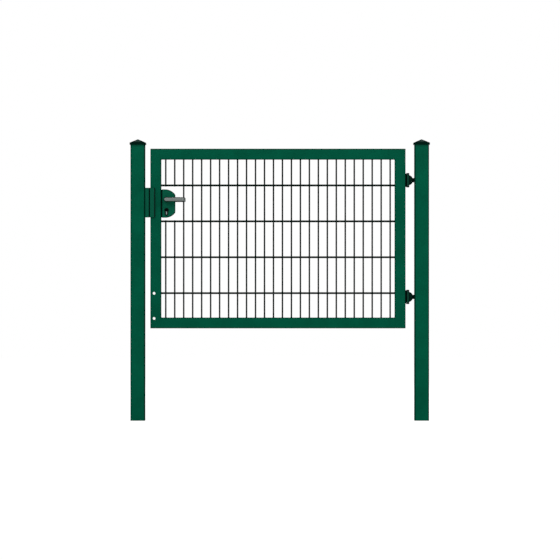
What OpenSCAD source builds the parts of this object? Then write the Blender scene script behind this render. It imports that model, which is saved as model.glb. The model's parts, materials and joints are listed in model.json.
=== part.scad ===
// Single-leaf tubular frame gate between two square posts. The leaf is a mitred
// tube frame filled with double-wire mesh. It hangs on two adjustable eye hinges
// and has a lever lock with a profile cylinder, which closes into a keep.
//
// Millimetres. X runs along the gate towards the hinge post, Y runs from the stop
// side to the side the leaf opens to, and Z is up. The origin is the centre of
// the hinge post's foot.

/* [Gate] */
// Clear passage between the two posts
passage_w = 1500; // [1000:10:2000]
// Height of the leaf
leaf_h = 1000; // [900:10:1400]
// Height of the leaf's lower edge above the feet of the posts
leaf_lift = 513; // [300:1:700]
// Gap between the leaf and the lock post
lock_gap = 30; // [28:1:45]
// Gap between the leaf and the hinge post
hinge_gap = 50; // [45:1:70]

/* [Posts] */
// Side of the square post tube
post_side = 80; // [60:5:120]
// Wall of the post tube
post_wall = 3; // [2:0.5:5]
// Outer corner radius of the post tube
post_corner_r = 6; // [4:0.5:8]
// Height of the posts above the top of the leaf
post_rise = 27; // [10:1:80]

/* [Post caps] */
// Overhang of the cap beyond the post on every side
cap_overhang = 5; // [2:0.5:10]
// Depth by which the cap's rim reaches down round the post
cap_lip = 4; // [1:0.5:8]
// Height of the cap's upright rim
cap_rim_h = 11; // [8:1:20]
// Rise of the cap's pyramid above the rim
cap_peak = 19; // [5:1:40]
// Width of the soft shoulder between the cap's rim and its pyramid
cap_shoulder = 2; // [1:0.5:4]
// Depth of the cap's plug inside the post
cap_plug_depth = 28; // [10:1:60]
// Wall of the cap's hood and plug
cap_wall = 2; // [1.5:0.5:4]
// Number of sealing fins round the cap's plug
cap_fins = 3; // [1:1:5]
// Height by which the fins stand out from the plug
cap_fin_h = 1.2; // [0.5:0.1:2]
// Clearance of the cap round and inside the post tube
cap_clear = 0.3; // [0.1:0.1:1]

/* [Leaf frame] */
// Width of the frame tube, seen from the front
frame_face = 60; // [40:5:80]
// Depth of the frame tube
frame_depth = 40; // [30:5:60]
// Wall of the frame tube
frame_wall = 2; // [1.5:0.5:4]
// Outer corner radius of the frame tube
frame_corner_r = 4; // [3:0.5:6]
// Radius to which the leaf's four corners are ground
leaf_corner_r = 3; // [1:0.5:5]
// Diameter of the drop-bolt guide holes in the lock stile
guide_hole_d = 16; // [10:1:20]
// Distance of the guide holes from the leaf's outer edge
guide_hole_inset = 20; // [15:1:30]
// Height of the lower guide hole above the leaf's lower edge
guide_hole_up = 55; // [30:1:100]
// Spacing of the two guide holes
guide_hole_spacing = 140; // [60:5:300]

/* [Mesh] */
// Spacing of the upright wires
mesh_pitch = 50; // [25:5:100]
// Diameter of the upright wires
upright_wire_d = 6; // [4:0.5:8]
// Diameter of the paired cross wires
cross_wire_d = 8; // [4:0.5:10]
// Height of the lowest cross wires above the bottom rail
first_cross_up = 136; // [40:1:200]
// Spacing of the cross wires
cross_pitch = 200; // [100:10:300]
// Depth by which the wires are melted into each other where they cross
wire_sink = 0.4; // [0.2:0.1:1]

/* [Lock] */
// Height of the lock's middle above the leaf's lower edge
lock_up = 695; // [400:1:700]
// Width of the lock case
lock_w = 78; // [60:1:95]
// Height of the lock case
lock_h = 157; // [140:1:180]
// Thickness of the lock case
lock_t = 44; // [40:1:60]
// Length of the straight stretch of the case's upper and lower edges
lock_flat = 23; // [15:1:30]
// Radius of the case's large curves
lock_curve_r = 66; // [60:1:75]
// Radius of the case's nose corners
lock_nose_r = 12; // [6:1:20]
// Rounding of the edges of the case's two covers
lock_bevel = 4; // [1:0.5:6]
// Thickness of the case's core between its two covers
lock_core_t = 22; // [20:1:34]
// Depth by which the core is set back from the covers' outline
lock_seam = 1.5; // [0.5:0.5:3]
// Gap between the covers and the stile
lock_gap_to_stile = 4.5; // [2:0.5:6]
// Least gap between the lock case and the mesh wires
lock_clear = 8; // [5:1:20]
// Thickness of the lock's face plate
face_plate_t = 1.5; // [1:0.5:2]
// Width of the lock's face plate
face_plate_w = 22; // [18:1:28]

/* [Lever] */
// Distance of the lever's pivot from the stile
pivot_inset = 30; // [26:1:35]
// Height of the lever's pivot above the lock's middle
pivot_up = 22; // [10:1:30]
// Height of the lever's grip
grip_h = 24; // [18:1:28]
// Thickness of the lever's grip
grip_t = 13; // [10:1:18]
// Radius of the long edges of the lever's grip
grip_edge_r = 4.5; // [2:0.5:6]
// Length of the lever from its pivot to its tip
lever_len = 104; // [90:1:130]
// Distance from the lock case to the lever's outer face
lever_reach = 50; // [40:1:60]
// Outer radius of the bend at the lever's tip
tip_bend_r = 17; // [15:1:24]
// Length of the tip beyond its bend
tip_return = 6; // [2:1:12]
// Diameter of the lever's neck
neck_d = 16; // [14:1:20]
// Radius of the flare where the neck joins the grip
neck_flare_r = 2.5; // [1:0.5:3]
// Side of the square spindle
spindle_side = 8; // [7:1:9]
// Depth of the spindle in each lever
spindle_grip = 30; // [20:1:35]
// Diameter of the round rose behind the lever
rose_d = 30; // [24:1:36]
// Thickness of the rose
rose_t = 6; // [4:0.5:8]
// Running clearance of the neck in the rose, on the radius
neck_clear = 0.05; // [0.02:0.01:0.1]

/* [Cylinder] */
// Distance of the cylinder's centre from the stile
cylinder_inset = 30; // [26:1:38]
// Depth of the cylinder's centre below the lock's middle
cylinder_down = 37; // [30:1:45]
// Diameter of the profile cylinder's round part
cylinder_d = 17; // [17:0.5:22]
// Width of the profile cylinder's leg
cylinder_leg_w = 10; // [10:0.5:12]
// Height of the profile cylinder from top to bottom
cylinder_h = 33; // [33:0.5:36]
// Projection of the cylinder beyond the escutcheon
cylinder_proud = 1.5; // [0.5:0.5:4]
// Diameter of the turning plug
plug_d = 13; // [11:0.5:15]
// Length of each turning plug
plug_len = 22; // [15:1:26]
// Width of the escutcheon's foot round the cylinder
escutcheon_border = 4; // [3:0.5:6]
// Further length of the escutcheon below the cylinder
escutcheon_tail = 3; // [0:0.5:6]
// Width and height of the step on the escutcheon's foot
escutcheon_step = 1.5; // [0.5:0.5:2]
// Thickness of the escutcheon
escutcheon_t = 5; // [3:0.5:8]

/* [Bolts] */
// Thickness of the latch bolt
latch_t = 12; // [10:1:16]
// Height of the latch bolt
latch_h = 24; // [18:1:30]
// Thickness of the dead bolt
dead_bolt_t = 14; // [10:1:16]
// Height of the dead bolt
dead_bolt_h = 34; // [24:1:40]
// Depth of the dead bolt's middle below the lock's middle
dead_bolt_down = 18; // [15:1:25]
// Clearance round the bolts in the stile and the face plate
bolt_clear = 0.5; // [0.3:0.1:1]

/* [Keep] */
// Projection of the keep's box from the post
keep_w = 23; // [18:1:25]
// Width of the raised band along the keep's front
keep_band_w = 24; // [20:1:25]
// Width of the shadow gap between the band and the stop flange
keep_groove_w = 4; // [2:0.5:5]
// Depth of the shadow gap behind the flange's front
keep_groove_d = 3; // [1:0.5:3]
// Height of the keep
keep_h = 164; // [150:1:200]
// Height of the keep's middle above the lock's middle
keep_up = 5; // [0:1:10]
// Wall of the keep
keep_wall = 4; // [3:0.5:6]
// Thickness of the keep's rear lip, which the latch bolt catches
keep_lip_t = 8; // [5:0.5:12]
// Depth by which the keep's box stands in front of its stop flange
keep_step = 3; // [2:0.5:5]
// Overlap of the stop flange with the stile
stop_overlap = 26; // [20:1:30]
// Corner radius of the stop flange, seen from the front
stop_corner_r = 4; // [1:0.5:8]
// Thickness of the stop flange
stop_t = 4; // [3:0.5:6]
// Thickness of the rubber buffer behind the stop flange and along its edge
buffer_t = 4; // [3:0.5:6]
// Gap between the closed leaf and the buffer
stop_gap = 5; // [5:0.5:10]

/* [Hinges] */
// Distance of each hinge's middle from the leaf's nearer end
hinge_inset = 175; // [120:5:300]
// Distance of the pin's axis from the leaf
pin_offset = 13; // [12:0.5:16]
// Diameter of the hinge pin
pin_d = 12; // [10:1:14]
// Height of the hinge bracket
bracket_h = 74; // [68:1:90]
// Thickness of the bracket's two lugs
lug_t = 5; // [4:0.5:8]
// Width of the bracket's lugs
lug_w = 18; // [16:1:22]
// Thickness of the bracket's back plate at its sides
bracket_back_t = 4.5; // [4:0.5:5]
// Clearance between the eye's barrel and the hollow in the bracket's back plate
barrel_clear = 0.5; // [0.3:0.1:1]
// Height of the pin's head and of its end collar
pin_head_h = 3; // [2:0.5:5]
// Thickness of the washers above and below the eye
washer_t = 1; // [0.5:0.5:2]
// Play between the eye and each washer
eye_play = 0.5; // [0.3:0.1:1]
// Running clearance of the pin in the eye, on the radius
pin_clear = 0.05; // [0.02:0.01:0.1]
// Outer diameter of the eye's barrel
barrel_d = 18; // [16:1:19]
// Thickness of the eye's half-moon plate
moon_t = 10; // [8:1:12]
// Depth by which the half-moon plate is set back from the barrel's ends
moon_inset = 1; // [0.5:0.5:3]
// Width of the rim left round the recess in the half-moon plate
moon_rim = 3.5; // [2:0.5:5]
// Depth of the recess on each side of the half-moon plate
moon_recess = 2; // [1:0.5:3]
// Diameter of the eye's threaded rod
rod_d = 16; // [12:1:20]
// Length of the rod inside the post
rod_in_post = 30; // [15:1:40]
// Width across the flats of the rod's nuts
nut_af = 24; // [22:1:30]
// Thickness of each nut
nut_t = 11; // [8:1:13]

/* [Hidden] */

$fn = 48;
arc_steps = 6;      // chords in each small corner
curve_steps = 14;   // chords in each of the lock case's large curves
over = 1;           // how far a cut runs past the face it opens
least_r = 0.5;      // smallest radius inside a tube's corner
spindle_clear = 0.6;    // clearance round the spindle's corners in the case
hair = 0.02;        // height of a level that only shapes a hull
cap_tip = 2;        // side of the blunt tip of the cap's pyramid
moon_share = 0.9;   // furthest place of the half-moon's flat end, as a share of its radius
wire_sides = 8;     // sides of a mesh wire

powder_green = [0.01, 0.31, 0.22];
cap_black = [0.12, 0.14, 0.14];
steel_grey = [0.62, 0.63, 0.64];
hinge_black = [0.06, 0.1, 0.09];
rubber_black = [0.05, 0.05, 0.05];

// Posts
post_h = leaf_lift + leaf_h + post_rise;
lock_post_x = -(passage_w + post_side);
lock_post_face = lock_post_x + post_side / 2;
hinge_post_face = -post_side / 2;

// Leaf and its opening inside the frame
leaf_x0 = lock_post_face + lock_gap;
leaf_x1 = hinge_post_face - hinge_gap;
leaf_w = leaf_x1 - leaf_x0;
leaf_z0 = leaf_lift;
leaf_z1 = leaf_lift + leaf_h;
inner_x0 = leaf_x0 + frame_face;
inner_x1 = leaf_x1 - frame_face;
inner_z0 = leaf_z0 + frame_face;
inner_z1 = leaf_z1 - frame_face;
half_depth = frame_depth / 2;

// Lock
lock_z = leaf_z0 + lock_up;
lock_z0 = lock_z - lock_h / 2;
lock_z1 = lock_z + lock_h / 2;
pivot_x = inner_x0 + pivot_inset;
pivot_z = lock_z + pivot_up;
cylinder_x = inner_x0 + cylinder_inset;
cylinder_z = lock_z - cylinder_down;
dead_bolt_z = lock_z - dead_bolt_down;
cylinder_half = lock_t / 2 + escutcheon_t + cylinder_proud;
face_x = leaf_x0 - face_plate_t;

// Mesh wires: the uprights share the opening's width evenly at both ends
upright_count = floor((inner_x1 - inner_x0) / mesh_pitch);
upright_margin = (inner_x1 - inner_x0 - (upright_count - 1) * mesh_pitch) / 2;
upright_x = [for (i = [0 : upright_count - 1]) inner_x0 + upright_margin + i * mesh_pitch];
cross_count = 1 + floor((inner_z1 - inner_z0 - first_cross_up - cross_wire_d) / cross_pitch);
cross_z = [for (i = [0 : cross_count - 1]) inner_z0 + first_cross_up + i * cross_pitch];
flat_of = cos(180 / wire_sides);    // a wire's flats, as a share of its radius
cross_y = flat_of * (upright_wire_d + cross_wire_d) / 2 - wire_sink;

// Window left in the mesh for the lock, from one cross wire to another
cross_below = [for (z = cross_z) if (z <= lock_z0 - lock_clear) z];
cross_above = [for (z = cross_z) if (z >= lock_z1 + lock_clear) z];
window_z0 = len(cross_below) > 0 ? max(cross_below) + cross_wire_d / 2 : inner_z0;
window_z1 = len(cross_above) > 0 ? min(cross_above) - cross_wire_d / 2 : inner_z1;
window_x = inner_x0 + lock_w + lock_clear;
window_end_x = min([for (x = upright_x) if (x >= window_x) x]);

// Keep, measured from the lock post's face and the leaf's middle plane
flange_x = lock_gap + stop_overlap;
flange_metal_x = flange_x - buffer_t;
flange_back = -(half_depth + stop_gap + buffer_t);
flange_front = flange_back - stop_t;
keep_front = flange_front - keep_step;
keep_back = half_depth + keep_wall;
keep_mouth_front = -(half_depth - keep_wall);
keep_z0 = lock_z + keep_up - keep_h / 2;
keep_web_z = (pivot_z - latch_h / 2 + dead_bolt_z + dead_bolt_h / 2) / 2;

// Hinges
hinge_z = [leaf_z0 + hinge_inset, leaf_z1 - hinge_inset];
pin_x = leaf_x1 + pin_offset;
eye_half = bracket_h / 2 - lug_t - washer_t - eye_play;
moon_reach = hinge_post_face - nut_t - pin_x;
moon_r = eye_half - moon_inset;
moon_end = min(moon_reach, moon_share * moon_r);

function arc(x, y, r, a0, a1, n) =
    [for (i = [0 : n]) let (a = a0 + (a1 - a0) * i / n) [x + r * cos(a), y + r * sin(a)]];

function mirrored(points) = [for (i = [len(points) - 1 : -1 : 0]) [points[i].x, -points[i].y]];

function round_rect(w, d, r) = concat(
    arc(w / 2 - r, d / 2 - r, r, 0, 90, arc_steps),
    arc(r - w / 2, d / 2 - r, r, 90, 180, arc_steps),
    arc(r - w / 2, r - d / 2, r, 180, 270, arc_steps),
    arc(w / 2 - r, r - d / 2, r, 270, 360, arc_steps));

// Extrudes an outline drawn in X and Z along Y, centred on the leaf's middle plane
module along_y(len) {
    rotate([90, 0, 0]) linear_extrude(height = len, center = true) children();
}

module round_square(w, d, r) {
    square([w - 2 * r, d], center = true);
    square([w, d - 2 * r], center = true);
    for (x = [r - w / 2, w / 2 - r], y = [r - d / 2, d / 2 - r])
        translate([x, y]) circle(r = r);
}

module square_tube(w, d, r, wall, h) {
    linear_extrude(height = h)
        difference() {
            round_square(w, d, r);
            round_square(w - 2 * wall, d - 2 * wall, max(r - wall, least_r));
        }
}

// ---- Posts and caps ----

module post() {
    square_tube(post_side, post_side, post_corner_r, post_wall, post_h);
}

module hinge_post() {
    color(powder_green)
        difference() {
            post();
            for (z = hinge_z)
                translate([hinge_post_face - over, 0, z]) rotate([0, 90, 0])
                    cylinder(d = rod_d, h = post_wall + 2 * over);
        }
}

module lock_post() {
    color(powder_green) translate([lock_post_x, 0, 0]) post();
}

// A level of the cap's hood, thin enough to serve as an edge of its hull
module cap_level(z, side, r) {
    translate([0, 0, z]) linear_extrude(height = hair) polygon(round_rect(side, side, r));
}

// Hood with an upright rim, a soft shoulder and a low pyramid
module cap_hood(rim_side, rim_r, rim_z) {
    shoulder_z = rim_z + cap_rim_h - cap_shoulder;
    hull() {
        cap_level(rim_z, rim_side, rim_r);
        for (a = [0 : 30 : 90])
            cap_level(shoulder_z + cap_shoulder * sin(a),
                      rim_side - 2 * cap_shoulder * (1 - cos(a)), rim_r);
        translate([0, 0, rim_z + cap_rim_h + cap_peak - hair]) linear_extrude(height = hair)
            square(cap_tip, center = true);
    }
}

// A moulded cap: a hollow hood on the post's end and a plug inside it with sealing fins
module cap(x) {
    rim_side = post_side + 2 * cap_overhang;
    rim_r = post_corner_r + cap_overhang / 2;
    rim_z = post_h - cap_lip;
    seat_side = post_side + 2 * cap_clear;
    fin_side = post_side - 2 * (post_wall + cap_clear);
    plug_side = fin_side - 2 * cap_fin_h;
    plug_r = max(post_corner_r - post_wall, least_r);
    bore_side = plug_side - 2 * cap_wall;
    bore_h = cap_rim_h - cap_lip - cap_wall;
    color(cap_black) translate([x, 0, 0]) {
        difference() {
            cap_hood(rim_side, rim_r, rim_z);
            translate([0, 0, rim_z - over]) linear_extrude(height = cap_lip + over)
                polygon(round_rect(seat_side, seat_side, post_corner_r + cap_clear));
            hull() {
                translate([0, 0, post_h - over]) linear_extrude(height = bore_h + over)
                    square(bore_side, center = true);
                translate([0, 0, rim_z + cap_rim_h + cap_peak - 2 * cap_wall]) linear_extrude(height = hair)
                    square(cap_tip, center = true);
            }
        }
        translate([0, 0, post_h - cap_plug_depth])
            square_tube(plug_side, plug_side, plug_r, cap_wall, cap_plug_depth);
        for (i = [0 : cap_fins - 1])
            translate([0, 0, post_h - cap_plug_depth * (i + 0.5) / cap_fins])
                square_tube(fin_side, fin_side, plug_r, cap_fin_h + cap_wall / 2, cap_wall / 2);
    }
}

module hinge_post_cap() { cap(0); }

module lock_post_cap() { cap(lock_post_x); }

// ---- Keep ----

// Plan outline of the keep: x is the distance from the post, y is across the leaf.
// The flange's root is thickened behind the shadow gap.
keep_outline = concat(
    arc(keep_step, flange_front, keep_step, 180, 270, arc_steps),
    arc(keep_band_w - keep_step, flange_front, keep_step, -90, 0, arc_steps),
    [[keep_band_w, flange_front + keep_groove_d],
     [keep_band_w + keep_groove_w, flange_front + keep_groove_d],
     [keep_band_w + keep_groove_w, flange_front],
     [flange_metal_x, flange_front],
     [flange_metal_x, flange_back],
     [lock_gap, flange_back],
     [keep_w, flange_back + buffer_t]],
    arc(keep_w - keep_step, keep_back - keep_step, keep_step, 0, 90, arc_steps),
    [[0, keep_back]]);

// Plan outline of the rubber buffer, which lines the flange's back and its free edge
buffer_outline = concat(
    [[flange_metal_x, flange_back], [flange_metal_x, flange_front]],
    arc(flange_x - buffer_t / 2, flange_front + buffer_t / 2, buffer_t / 2, -90, 0, arc_steps),
    arc(flange_x - buffer_t / 2, flange_back + buffer_t / 2, buffer_t / 2, 0, 90, arc_steps),
    arc(lock_gap + 2 * buffer_t, flange_back + buffer_t / 2, buffer_t / 2, 90, 180, arc_steps),
    [[lock_gap + 1.5 * buffer_t, flange_back]]);

// Extrudes a plan outline to the keep's height and rounds the flange's corners
module keep_height(outline) {
    intersection() {
        translate([0, 0, keep_z0]) linear_extrude(height = keep_h) polygon(outline);
        translate([0, 0, keep_z0 + keep_h / 2]) along_y(4 * keep_back)
            round_square(2 * flange_x, keep_h, stop_corner_r);
    }
}

module keep_pocket(z0, z1) {
    translate([keep_wall, keep_mouth_front, z0])
        cube([keep_w - keep_wall + over, keep_back - keep_lip_t - keep_mouth_front, z1 - z0]);
}

module keep() {
    color(powder_green) translate([lock_post_face, 0, 0])
        difference() {
            keep_height(keep_outline);
            keep_pocket(keep_z0 + 2 * keep_wall, keep_web_z - keep_wall / 2);
            keep_pocket(keep_web_z + keep_wall / 2, keep_z0 + keep_h - 2 * keep_wall);
        }
}

module stop_buffer() {
    color(rubber_black) translate([lock_post_face, 0, 0]) keep_height(buffer_outline);
}

// ---- Leaf frame ----

// A frame tube standing on the origin, its outer side at x = 0, mitred at both ends
module mitred_tube(len) {
    r = leaf_corner_r;
    intersection() {
        translate([frame_face / 2, 0, 0])
            square_tube(frame_face, frame_depth, frame_corner_r, frame_wall, len);
        along_y(frame_depth + 2 * over)
            polygon(concat(arc(r, r, r, 225, 180, arc_steps), arc(r, len - r, r, 180, 135, arc_steps),
                           [[frame_face, len - frame_face], [frame_face, frame_face]]));
    }
}

module bolt_way(z, t, h) {
    translate([face_x - over, -t / 2 - bolt_clear, z - h / 2 - bolt_clear])
        cube([inner_x0 - face_x + 2 * over, t + 2 * bolt_clear, h + 2 * bolt_clear]);
}

module lock_stile() {
    color(powder_green)
        difference() {
            translate([leaf_x0, 0, leaf_z0]) mitred_tube(leaf_h);
            for (up = [guide_hole_up, guide_hole_up + guide_hole_spacing])
                translate([leaf_x0 + guide_hole_inset, 0, leaf_z0 + up]) rotate([90, 0, 0])
                    cylinder(d = guide_hole_d, h = frame_depth + 2 * over, center = true);
            bolt_way(pivot_z, latch_t, latch_h);
            bolt_way(dead_bolt_z, dead_bolt_t, dead_bolt_h);
        }
}

module hinge_stile() {
    color(powder_green) translate([leaf_x1, 0, leaf_z0]) mirror([1, 0, 0]) mitred_tube(leaf_h);
}

module top_rail() {
    color(powder_green) translate([leaf_x0, 0, leaf_z1]) rotate([0, 90, 0]) mitred_tube(leaf_w);
}

module bottom_rail() {
    color(powder_green)
        translate([leaf_x0, 0, leaf_z0]) mirror([0, 0, 1]) rotate([0, 90, 0]) mitred_tube(leaf_w);
}

// ---- Mesh ----

module wire(d, len) {
    if (len > 0) rotate(180 / wire_sides) cylinder(d = d, h = len, $fn = wire_sides);
}

module upright_wire(x, z0, z1) {
    translate([x, 0, z0]) wire(upright_wire_d, z1 - z0);
}

module cross_wire(z, x0) {
    for (y = [-cross_y, cross_y])
        translate([x0, y, z]) rotate([0, 90, 0]) wire(cross_wire_d, inner_x1 - x0);
}

module mesh_panel() {
    color(powder_green)
        union() {
            for (x = upright_x)
                if (x >= window_x) {
                    upright_wire(x, inner_z0, inner_z1);
                } else {
                    upright_wire(x, inner_z0, window_z0);
                    upright_wire(x, window_z1, inner_z1);
                }
            for (z = cross_z)
                cross_wire(z, z > window_z0 && z < window_z1 ? window_end_x : inner_x0);
        }
}

// ---- Lock ----

// Upper half of the lock case's outline, from the nose back to x0 beside the stile
function case_edge(inset, x0) =
    let (w = lock_w - inset, h = lock_h / 2 - inset,
         big = lock_curve_r - inset, nose = lock_nose_r - inset,
         dx = w - nose - lock_flat, dz = sqrt((big - nose) ^ 2 - dx ^ 2),
         turn = atan2(dz, dx))
    concat(arc(w - nose, h - big + dz, nose, 0, turn, arc_steps),
           arc(lock_flat, h - big, big, turn, 90, curve_steps),
           [[x0, h]]);

module case_slab(inset, x0, t) {
    along_y(t) polygon(concat(case_edge(inset, x0), mirrored(case_edge(inset, x0))));
}

// Both covers with rounded edges; the space between them is left for the core
module case_covers() {
    difference() {
        hull()
            for (a = [0 : 30 : 90])
                let (inset = lock_bevel * (1 - cos(a)))
                    case_slab(inset, lock_gap_to_stile + inset, lock_t - 2 * lock_bevel * (1 - sin(a)));
        translate([-over, -lock_core_t / 2, -lock_h / 2 - over])
            cube([lock_w + 2 * over, lock_core_t, lock_h + 2 * over]);
    }
}

// Profile cylinder's outline about its round centre, grown by a border and a tail
module cylinder_outline(border, tail = 0) {
    leg_r = cylinder_leg_w / 2 + border;
    leg_end = cylinder_h - cylinder_d / 2 - cylinder_leg_w / 2 + tail;
    circle(d = cylinder_d + 2 * border);
    translate([-leg_r, -leg_end]) square([2 * leg_r, leg_end]);
    translate([0, -leg_end]) circle(r = leg_r);
}

module lock_case() {
    color(powder_green)
        difference() {
            translate([inner_x0, 0, lock_z]) {
                case_slab(lock_seam, 0, lock_core_t);
                case_covers();
            }
            translate([pivot_x, 0, pivot_z]) rotate([90, 0, 0])
                cylinder(d = spindle_side * sqrt(2) + 2 * spindle_clear,
                         h = lock_t + 2 * over, center = true);
            translate([cylinder_x, 0, cylinder_z])
                along_y(lock_t + 2 * over) cylinder_outline(bolt_clear / 2);
        }
}

module lock_face_plate() {
    color(steel_grey)
        difference() {
            translate([face_x, 0, lock_z]) rotate([0, 90, 0])
                linear_extrude(height = face_plate_t) round_square(lock_h, face_plate_w, face_plate_w / 4);
            bolt_way(pivot_z, latch_t, latch_h);
            bolt_way(dead_bolt_z, dead_bolt_t, dead_bolt_h);
        }
}

// The bolts are drawn back: they run from the case through the stile to the face plate
module latch_bolt() {
    color(steel_grey)
        translate([0, 0, pivot_z - latch_h / 2]) linear_extrude(height = latch_h)
            polygon([[inner_x0, -latch_t / 2], [inner_x0, latch_t / 2], [face_x, latch_t / 2],
                     [face_x, latch_t / 4], [face_x + latch_t, -latch_t / 2]]);
}

module dead_bolt() {
    color(steel_grey)
        translate([face_x, -dead_bolt_t / 2, dead_bolt_z - dead_bolt_h / 2])
            cube([inner_x0 - face_x, dead_bolt_t, dead_bolt_h]);
}

module rose() {
    bore_r = neck_d / 2 + neck_clear;
    edge_r = rose_t / 2;
    color(powder_green)
        translate([pivot_x, -lock_t / 2, pivot_z]) rotate([90, 0, 0])
            rotate_extrude()
                polygon(concat([[bore_r, 0], [rose_d / 2, 0]],
                               arc(rose_d / 2 - edge_r, rose_t - edge_r, edge_r, 0, 90, arc_steps),
                               [[bore_r, rose_t]]));
}

module front_rose() { rose(); }

module back_rose() { mirror([0, 1, 0]) rose(); }

// Stepped cover round the cylinder's end
module escutcheon() {
    foot_t = escutcheon_t - escutcheon_step;
    color(cap_black)
        translate([cylinder_x, -lock_t / 2, cylinder_z])
            difference() {
                union() {
                    translate([0, -foot_t / 2, 0]) along_y(foot_t)
                        cylinder_outline(escutcheon_border, escutcheon_tail);
                    translate([0, -escutcheon_t / 2, 0]) along_y(escutcheon_t)
                        cylinder_outline(escutcheon_border - escutcheon_step, escutcheon_tail);
                }
                along_y(2 * escutcheon_t + 2 * over) cylinder_outline(0);
            }
}

module front_escutcheon() { escutcheon(); }

module back_escutcheon() { mirror([0, 1, 0]) escutcheon(); }

module profile_cylinder() {
    color(steel_grey)
        translate([cylinder_x, 0, cylinder_z])
            along_y(2 * cylinder_half)
                difference() {
                    cylinder_outline(0);
                    circle(d = plug_d);
                }
}

module cylinder_plug() {
    keyway_w = 2;
    keyway_h = 8.5;
    keyway_depth = 14;
    keyway_up = 1.5;
    translate([cylinder_x, plug_len / 2 - cylinder_half, cylinder_z])
        difference() {
            along_y(plug_len) circle(d = plug_d);
            translate([-keyway_w / 2, -plug_len / 2 - over, keyway_up - plug_d / 2])
                cube([keyway_w, keyway_depth + over, keyway_h]);
        }
}

module cylinder_plugs() {
    color(cap_black) {
        cylinder_plug();
        mirror([0, 1, 0]) cylinder_plug();
    }
}

// ---- Lever ----

module grip_section() { round_square(grip_t, grip_h, grip_edge_r); }

// Round end of the grip over the neck
module grip_hub() {
    rotate([-90, 0, 0]) rotate([0, 0, 90]) rotate_extrude(angle = 180)
        intersection() {
            rotate(90) grip_section();
            translate([0, -grip_t / 2]) square([grip_h / 2, grip_t]);
        }
}

// Straight grip, its bend towards the lock case and the short return at the tip
module grip() {
    bend_x = lever_len - tip_bend_r;
    bend_y = lever_reach - tip_bend_r;
    translate([0, lever_reach - grip_t / 2, 0]) {
        grip_hub();
        rotate([90, 0, 90]) linear_extrude(height = bend_x) grip_section();
    }
    translate([bend_x, bend_y, 0]) rotate_extrude(angle = 90)
        translate([tip_bend_r - grip_t / 2, 0]) grip_section();
    translate([lever_len - grip_t / 2, bend_y, 0]) rotate([90, 0, 0])
        linear_extrude(height = tip_return) grip_section();
}

// Neck that flares into the back of the grip
module neck() {
    neck_gap = 0.5;
    neck_r = neck_d / 2;
    flare_end_r = neck_r + neck_flare_r;
    grip_back = lever_reach - grip_t;
    inside_grip = grip_back + grip_t / 2;
    rotate([-90, 0, 0])
        rotate_extrude()
            polygon(concat([[0, neck_gap], [neck_r, neck_gap]],
                           arc(flare_end_r, grip_back - neck_flare_r, neck_flare_r, 180, 90, arc_steps),
                           [[flare_end_r, inside_grip], [0, inside_grip]]));
}

// The lever on the opening side; y is the distance from the lock case
module lever() {
    color(steel_grey)
        translate([pivot_x, lock_t / 2, pivot_z])
            difference() {
                union() {
                    grip();
                    neck();
                }
                translate([-spindle_side / 2, -over, -spindle_side / 2])
                    cube([spindle_side, spindle_grip + over, spindle_side]);
            }
}

module front_lever() { mirror([0, 1, 0]) lever(); }

module back_lever() { lever(); }

module lever_spindle() {
    color(steel_grey)
        translate([pivot_x, 0, pivot_z])
            cube([spindle_side, lock_t + 2 * spindle_grip, spindle_side], center = true);
}

// ---- Hinges ----

// Half-moon plate beside the pin, cut flat where the threaded rod leaves it
module moon_outline(inset) {
    intersection() {
        circle(r = moon_r - inset);
        translate([-over, -moon_r]) square([moon_end - inset + over, 2 * moon_r]);
    }
}

// Recess forged into one side of the plate, beside the barrel
module moon_pocket() {
    depth = moon_recess + over;
    translate([0, (moon_t + depth) / 2 - moon_recess, 0]) along_y(depth)
        intersection() {
            moon_outline(moon_rim);
            translate([(barrel_d + moon_rim) / 2, -moon_r]) square([moon_end, 2 * moon_r]);
        }
}

module barrel() {
    edge = barrel_d / 18;
    rotate_extrude()
        polygon([[0, -eye_half], [barrel_d / 2 - edge, -eye_half], [barrel_d / 2, edge - eye_half],
                 [barrel_d / 2, eye_half - edge], [barrel_d / 2 - edge, eye_half], [0, eye_half]]);
}

module eye(z) {
    color(hinge_black)
        translate([pin_x, 0, z])
            difference() {
                union() {
                    barrel();
                    along_y(moon_t) moon_outline(0);
                    translate([moon_end - over, 0, 0]) rotate([0, 90, 0])
                        cylinder(d = rod_d, h = moon_reach - moon_end + over + nut_t + rod_in_post);
                }
                cylinder(r = pin_d / 2 + pin_clear, h = 2 * (eye_half + over), center = true);
                moon_pocket();
                mirror([0, 1, 0]) moon_pocket();
            }
}

// Hexagon nut with both ends chamfered at 30 degrees
module nut() {
    corner_r = nut_af / 2 / cos(30);
    end_r = 0.95 * nut_af / 2;
    chamfer = (corner_r - end_r) * tan(30);
    difference() {
        intersection() {
            rotate(30) cylinder(r = corner_r, h = nut_t, $fn = 6);
            rotate_extrude()
                polygon([[0, 0], [end_r, 0], [corner_r, chamfer], [corner_r, nut_t - chamfer],
                         [end_r, nut_t], [0, nut_t]]);
        }
        translate([0, 0, -over]) cylinder(d = rod_d, h = nut_t + 2 * over);
    }
}

// A nut on the rod outside the post's wall and another inside it
module hinge_nuts(z) {
    color(hinge_black)
        for (x = [hinge_post_face - nut_t, hinge_post_face + post_wall])
            translate([x, 0, z]) rotate([0, 90, 0]) nut();
}

module lug() {
    linear_extrude(height = lug_t)
        difference() {
            union() {
                translate([-pin_offset, -lug_w / 2]) square([pin_offset, lug_w]);
                circle(d = lug_w);
            }
            circle(d = pin_d);
        }
}

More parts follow.
